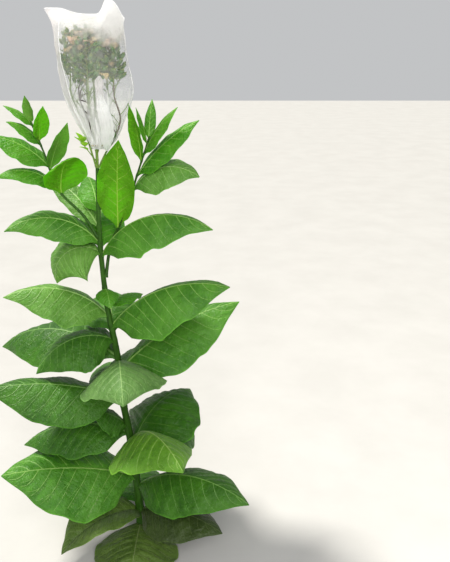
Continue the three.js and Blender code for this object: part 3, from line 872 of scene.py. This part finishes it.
def make_cluster(centre, radius, half, seed, foot, head, count=20):
    """Pods and bracts on side twigs that climb round a middle twig."""
    roll = dice(seed)
    top = centre + UP * half * 0.8
    head.twigs.loft(twig(foot, top, 2, 1.3))
    head.pod(top - UP * 6, top, UP, 1.1, roll)
    for k in range(count):
        share = (k + 0.5) / count
        level = 2 * share - 1
        root = lerp(foot, top, 0.08 + 0.84 * share)
        azimuth = k * GOLDEN_ANGLE + 0.4 * next(roll)
        height = centre[2] + half * level * (1.0 if level < 0 else 0.75) + 8
        bulge = math.sqrt(max(0.15, 1 - (0.85 * level) ** 2))
        tip = centre + (radius + 6) * bulge * between(roll, 0.7, 1.0) * heading(azimuth)
        tip[2] = min(height, centre[2] + half * 0.75)
        if not inside_bag(tip, 9):
            tip = lerp(root, tip, 0.6)
        lean = unit(lerp(unit(tip - root), UP, 0.5))
        head.twigs.loft(twig(root, tip, 1.3, 0.9, sag=2.5))
        head.pod(tip - lean * 2, tip, lean, between(roll, 0.95, 1.1), roll)
        for share_out in (0.35, 0.6, 0.82):
            start = lerp(root, tip, share_out)
            turn = azimuth + between(roll, -1.7, 1.7)
            away = unit(heading(turn, between(roll, -0.2, 1.0)))
            end = start + away * between(roll, 12, 21)
            head.pod(start, end, unit(lerp(away, UP, 0.4)), between(roll, 0.8, 1.05), roll)


def make_side_sprays(line, seed, bare_below, head):
    """Short forked twigs on a side branch below its cluster, some of them bare."""
    roll = dice(seed + 100)
    for k, share in enumerate((0.3, 0.42, 0.53, 0.63, 0.72, 0.8, 0.87, 0.94)):
        start = line(share)
        turn = 2.4 * k + seed
        end = start + unit(heading(turn, 0.9)) * between(roll, 24, 40)
        if not inside_bag(end, TWIG_ROOM):
            end = lerp(start, end, 0.55)
        if not inside_bag(end, POD_ROOM):
            continue
        head.stalks.loft(twig(start, end, 1.3, 0.9, rise=4))
        end = end + 4 * UP
        for hand in (-0.9, 0.0, 0.9):
            fork = unit(heading(turn + hand, between(roll, 0.5, 1.5)))
            tip = end + fork * between(roll, 12, 21)
            if tip[2] >= bare_below and next(roll) >= 0.1:
                head.pod(end, tip, fork, between(roll, 0.8, 1.05), roll)
            elif inside_bag(tip, POD_ROOM):
                head.stalks.loft(twig(end, tip, 0.9, 0.6))


RIND, DRY, BARE = range(3)    # materials of the stalks


def make_bare_twigs(head):
    """Bare forks that have lost their flowers, and one low pod on the right."""
    for points, radius, root, tips, tip_radius, share, offset in BARE_FORKS:
        head.stalks.loft(bare_twig(points, radius), BARE)
        for tip in tips:
            bend = lerp(np.array(root), np.array(tip), share) + np.array(offset)
            head.stalks.loft(bare_twig([root, bend, tip], tip_radius), BARE)
    head.stalks.loft(bare_twig(LOW_POD_TWIG, 1.3), BARE)
    aim = unit(np.array([0.05, -0.2, 1.0]))
    pod(np.array(LOW_POD_TWIG[-1], float), aim, 1.15, head.capsules, head.calyxes, 1)


def make_sprig(head):
    """A small leafy side shoot on the flower stalk, just outside the tied mouth."""
    roll = dice(97)
    line = smooth_line(SPRIG)
    u = shares(20)
    head.stalks.loft(tube(line(u), lerp(1.8, 1.0, u), 8), RIND)
    for share, azimuth, rise in SPRIG_BRACTS:
        away = unit(heading(radians(azimuth), rise))
        # The sprig's bracts take the third green, which is lightened as painted light.
        bract(line(share), away, between(roll, 30, 36), roll, head.bracts, 2, 0.34)


def make_flower_head():
    head = Head()
    u = shares(60)
    radius = lerp(4.6, 2.2, u) + knots(u, 6, 0.5, 0.09)
    head.stalks.loft(tube(panicle_line(u), radius, 12), RIND)
    for branch, azimuth, out, height, radius, half, seed in CLUSTERS:
        centre = HEAD_CENTRE + out * heading(radians(azimuth)) + height * UP
        foot = panicle_line(1.0)
        if branch:
            foot = centre - UP * half
            line = smooth_line([*branch, foot - UP * 40, foot])
            is_dry = line(u)[1:, 2:] > DRY_FROM.get(azimuth, math.inf)
            rings = tube(line(u), lerp(2.8, 2.1, u) + knots(u, 5, 0.6, 0.07), 10)
            head.stalks.loft(rings, np.where(is_dry, DRY, RIND))
            make_side_sprays(line, seed, LOW_PODS.get(azimuth, BARE_BELOW), head)
        make_cluster(centre, radius, half, seed, foot, head)
    make_bare_twigs(head)
    make_sprig(head)
    rind = stalk_material("stalk_rind", colour(118, 146, 66), colour(84, 112, 42))
    twig_rind = stalk_material("twig_rind", colour(112, 140, 50), colour(92, 96, 40))
    capsule = plain_material("capsule_husk", colour(118, 138, 52), colour(92, 100, 36), 220)
    dry = plain_material("dry_husk", colour(104, 86, 66), colour(70, 56, 42), 220, 0.85)
    bare = plain_material("bare_twig", colour(62, 48, 36), colour(40, 30, 22), 220, 0.85)
    calyx = plain_material("calyx_green", colour(72, 118, 40), colour(48, 88, 24), 180)
    petals = [
        plain_material("corolla_tan", colour(204, 184, 132), colour(172, 148, 96), 150, 0.85),
        plain_material("corolla_brown", colour(158, 138, 98), colour(124, 104, 70), 150, 0.85),
        plain_material("corolla_pink", colour(200, 166, 136), colour(172, 136, 106), 150, 0.85),
    ]
    greens = [
        plain_material("bract_green", colour(70, 126, 30), colour(46, 96, 16), 120, 0.6),
        plain_material("bract_pale", colour(116, 150, 62), colour(86, 122, 40), 120, 0.6),
        # The third green is lightened as painted light, for the sprig's bracts.
        plain_material("bract_painted_light", colour(170, 216, 60), colour(136, 196, 36), 120, 0.6),
    ]
    branches = numbered("panicle_branch", len(CLUSTERS) - 1)
    head.stalks.build("panicle_stalks", [rind, dry, bare], "stem", ["panicle_axis", *branches])
    head.twigs.build("flower_twigs", [twig_rind], "flowers", numbered("flowers", len(CLUSTERS)))
    head.capsules.build("seed_capsules", [capsule, dry], "flowers")
    head.calyxes.build("calyxes", [calyx], "flowers")
    head.corollas.build("dried_corollas", petals, "flowers")
    head.bracts.build("head_bracts", greens, "flowers")


# Bag

bag_level = smooth_line(BAG_LEVELS)
PLEATED = np.radians((25, 298))    # the cloth has pleats between these angles
WINDOW = np.radians((226, 272))    # where they are short
LAP = np.radians((172, 222))    # where the cloth is doubled
SHELL_MESH = (190, 240)    # stations and sides
SEAM_POINTS = 120
PLEATS = 26
PLEAT_MIDDLE = np.array([-66.0, 0.0, 0.0])
TIE_TURNS = 3
NEAR_SEAM = 0.9    # share of the height from which the folds die out towards the seam

# The folded corner of spare cloth on the front: its middle line, shares of its length with its
# half widths there, and the shares at which its cloth gets thicker
FOLD = [
    (-43, -93, 1571), (-45, -92, 1534), (-40, -90, 1494), (-34, -75, 1452), (-36, -50, 1407),
    (-44, -30, 1359),
]
FOLD_WIDTHS = ([0, 0.05, 0.1, 0.2, 0.35, 0.45, 0.6, 0.82, 0.93, 1], [2, 8, 11, 8, 9, 13, 17, 16, 10, 2])
FOLD_CLOTHS = [0.28, 0.4]


def ridges(x):
    """A row of sharp folds with round valleys between them."""
    return (1 - np.abs(np.sin(x))) ** 1.6


def bag_surface(share, angle):
    """The cloth at shares of its height from mouth to seam and at angles round it."""
    share, angle = np.broadcast_arrays(np.asarray(share, float), np.asarray(angle, float))
    height, middle, half, depth = np.moveaxis(bag_level(share), -1, 0)
    across, back = np.cos(angle), np.sin(angle)
    pleats = ridges(9 * angle + 1.5 * np.sin(3 * angle) + 6 * share) + 0.5 * ridges(14 * angle + 2)
    tuck = 1 - 0.5 * np.exp(-share / 0.13) * (1 - 0.55 * pleats)
    run = half * angle
    creases = 3.5 * ridges(0.03 * height + 0.02 * run + 0.8 * np.sin(0.018 * run))
    creases = creases + 3.0 * ridges(0.021 * height - 0.034 * run + 1.1 * np.sin(0.03 * height))
    flutes = 4.5 * np.exp(-share / 0.35) * np.sin(11 * angle + 2.5 * np.sin(2 * angle))
    dent = 4.0 * np.sin(3 * angle + 0.016 * height) * np.sin(np.pi * share)
    fading = np.where(share > NEAR_SEAM, (1 - share) / (1 - NEAR_SEAM), 1.0)
    push = (creases * np.sin(np.pi * share) ** 0.6 + flutes + dent) * fading - 3
    push = push / np.maximum(np.hypot(half, depth), 1)
    x = middle + across * (half * tuck + push * depth)
    places = np.stack([x, back * (depth * tuck + push * half), height], -1)
    seam = np.clip((share - 0.8) / 0.2, 0, 1) ** 1.5
    for spot, width, up, out in BAG_EARS:
        lift = hump(across - spot, width) * seam
        places[..., 0] += out * lift
        places[..., 2] += up * lift
    return places


def bag_shell():
    """The bag's cloth, doubled where it laps and sheer where it is stretched."""
    shell = Batch()
    stations, sides = SHELL_MESH
    angle = around(sides)
    lapped = (angle > LAP[0]) & (angle < LAP[1])
    taut = (angle < PLEATED[0]) | (angle > PLEATED[1])
    rings = bag_surface(shares(stations)[:, None], angle)
    shell.loft(rings, np.where(taut, 2, lapped.astype(int)), capped=False)
    return shell


def bag_seams():
    """Cords of folded cloth up the sides and the lap, along the top and round the mouth."""
    seams = Batch()
    line = shares(SEAM_POINTS)
    for spot in (0.0, math.pi, LAP[1]):
        seams.loft(tube(bag_surface(0.06 + 0.93 * line, spot), 1.1, 6))
    seams.loft(tube(bag_surface(1.0, math.pi * line), 1.3, 6))
    seams.loft(tube(bag_surface(0.0, np.linspace(0, TURN, 2 * SEAM_POINTS + 1)), 1.0, 6))
    return seams


def bag_fold():
    """The corner of spare cloth that hangs folded down the front."""
    fold = Batch()
    u = shares(90)[:, None]
    turn = around(64)[None]
    wide = np.interp(u, *FOLD_WIDTHS)
    thin = 8 * np.sin(np.pi * u) ** 0.5 + 1
    pleat = 1 + 0.12 * np.sin(7 * turn + 5 * u) + 0.09 * np.sin(13 * turn - 8 * u)
    pleat = pleat + 0.2 * ridges(2.5 * turn + 9 * u) + 0.05 * np.sin(60 * u + 3 * np.sin(turn))
    offset = np.stack([wide * np.cos(turn) * pleat, thin * np.sin(turn) * pleat, 0 * pleat], -1)
    edge = u[1:] + 0.05 * np.sin(3 * turn) + 0.03 * np.sin(7 * turn + 2)
    fold.loft(smooth_line(FOLD)(u) + offset, np.digitize(edge, FOLD_CLOTHS))
    return fold


def bag_pleats():
    """Pleats of doubled cloth that run up from the tie and fade out."""
    pleats = Batch()
    roll = dice(71)
    t = shares(40)[:, None]
    across = np.linspace(-1, 1, 9)[None]
    narrow = np.sin(np.pi * (0.08 + 0.92 * t) ** 0.7).clip(0) ** 0.8
    for k in range(PLEATS):
        spot = k * TURN / PLEATS + between(roll, -0.06, 0.06)
        reach = between(roll, 0.2, 0.54)
        width = between(roll, 0.05, 0.1)
        if not PLEATED[0] < spot < PLEATED[1]:
            continue
        if WINDOW[0] < spot < WINDOW[1]:
            reach = 0.5 * reach
        angle = spot + t * between(roll, -0.15, 0.15) + width * narrow * across
        places = bag_surface(0.012 + reach * t, angle)
        outward = unit((places - PLEAT_MIDDLE) * (RIGHT + BACK))
        raised = places + outward * (0.8 + 3.0 * narrow * (1 - across**2))[..., None]
        pleats.loft(np.concatenate([raised, (places + 0.5 * outward)[:, ::-1]], 1))
    return pleats


def bag_tie():
    tie = Batch()
    share = shares(160)
    tie.loft(tube(bag_surface(0.035 + 0.012 * share, TIE_TURNS * TURN * share), 1.3, 6))
    return tie


def make_bag():
    thin = cloth_material("thin", (0.12, 0.42), mouth=0.58)
    double = cloth_material("double", (0.5, 0.72), (0.97, 0.94, 0.95))
    sheer = cloth_material("sheer", (0.1, 0.36), mouth=0.0)
    pleated = cloth_material("pleated", (0.5, 0.8), (1.02, 1.02, 1.02))
    thick = cloth_material("folded", (0.94, 1.0), (1.02, 1.02, 1.02))
    twine = plain_material("twine", colour(206, 198, 176), colour(160, 150, 124), 600, 0.9)
    bag_shell().build("bag_shell", [thin, double, sheer], "bag_cloth", ["bag"], NO_SHARP_EDGES)
    bag_seams().build("bag_seams", [thick], "bag_cloth")
    bag_fold().build("bag_fold", [double, pleated, thick], "bag_cloth", sharp=NO_SHARP_EDGES)
    bag_pleats().build("bag_pleats", [pleated], "bag_cloth", sharp=NO_SHARP_EDGES)
    bag_tie().build("bag_tie", [twine], "bag_cloth")


# Stage

FLOOR_HALF_WIDTH = 20.0    # in metres, as all sizes of the stage
CAMERA_PLACE = (0.299, -2.019, 1.65)
CAMERA_DIP = 19.14    # degrees below level
FOCAL_PIXELS = 680
FRAME_HEIGHT = 562
FILL_PLACE = np.array([0.5, -3.6, 3.0])
FILL_TARGET = np.array([0.0, 0.0, 0.8])
FILL_WIDTH = 3.0
SUN_TURNS = (-12, -27, 0)
SUN_WIDTH = 14    # degrees, for soft shadows


def make_stage():
    mesh = bpy.data.meshes.new("floor")
    corners = [(-1, -1, 0), (1, -1, 0), (1, 1, 0), (-1, 1, 0)]
    mesh.from_pydata(FLOOR_HALF_WIDTH * np.array(corners), [], [(0, 1, 2, 3)])
    pale = plain_material("pale_floor", (0.5, 0.49, 0.47, 1), (0.47, 0.46, 0.44, 1), 3, 0.9)
    mesh.materials.append(pale)
    new_object("floor", mesh)


def new_lamp(name, kind, power, tint, turned, place=(0, 0, 0)):
    lamp = bpy.data.lights.new(name, kind)
    lamp.energy, lamp.color = power, tint
    holder = new_object(name, lamp)
    holder.location, holder.rotation_euler = place, turned
    return lamp


def make_light():
    """A soft sun from above and behind, a wide lamp in front and a pale sky."""
    turned = [radians(v) for v in SUN_TURNS]
    sun = new_lamp("key_above_behind", "SUN", 4.6, (1, 0.97, 0.9), turned)
    sun.angle = radians(SUN_WIDTH)
    aim = unit(FILL_PLACE - FILL_TARGET)
    turned = (math.acos(aim[2]), 0, math.atan2(aim[0], -aim[1]))
    fill = new_lamp("fill_front", "AREA", 130, (1, 0.99, 0.97), turned, FILL_PLACE)
    fill.shape = "DISK"
    fill.size = FILL_WIDTH
    world = bpy.data.worlds.new("studio")
    world.use_nodes = True
    sky = world.node_tree.nodes["Background"].inputs
    sky["Color"].default_value = (0.9, 0.915, 0.93, 1)
    sky["Strength"].default_value = 0.6
    bpy.context.scene.world = world
    bpy.context.scene.view_settings.view_transform = "Standard"


def make_camera():
    """At eye height, looking down on the plant as in the photograph."""
    camera = new_object("camera", bpy.data.cameras.new("camera"))
    camera.location = CAMERA_PLACE
    camera.rotation_euler = (radians(90 - CAMERA_DIP), 0, 0)
    camera.data.lens = camera.data.sensor_width * FOCAL_PIXELS / FRAME_HEIGHT
    bpy.context.scene.camera = camera


make_camera()
make_light()
make_stage()
make_stems()
make_leaves()
make_flower_head()
make_bag()
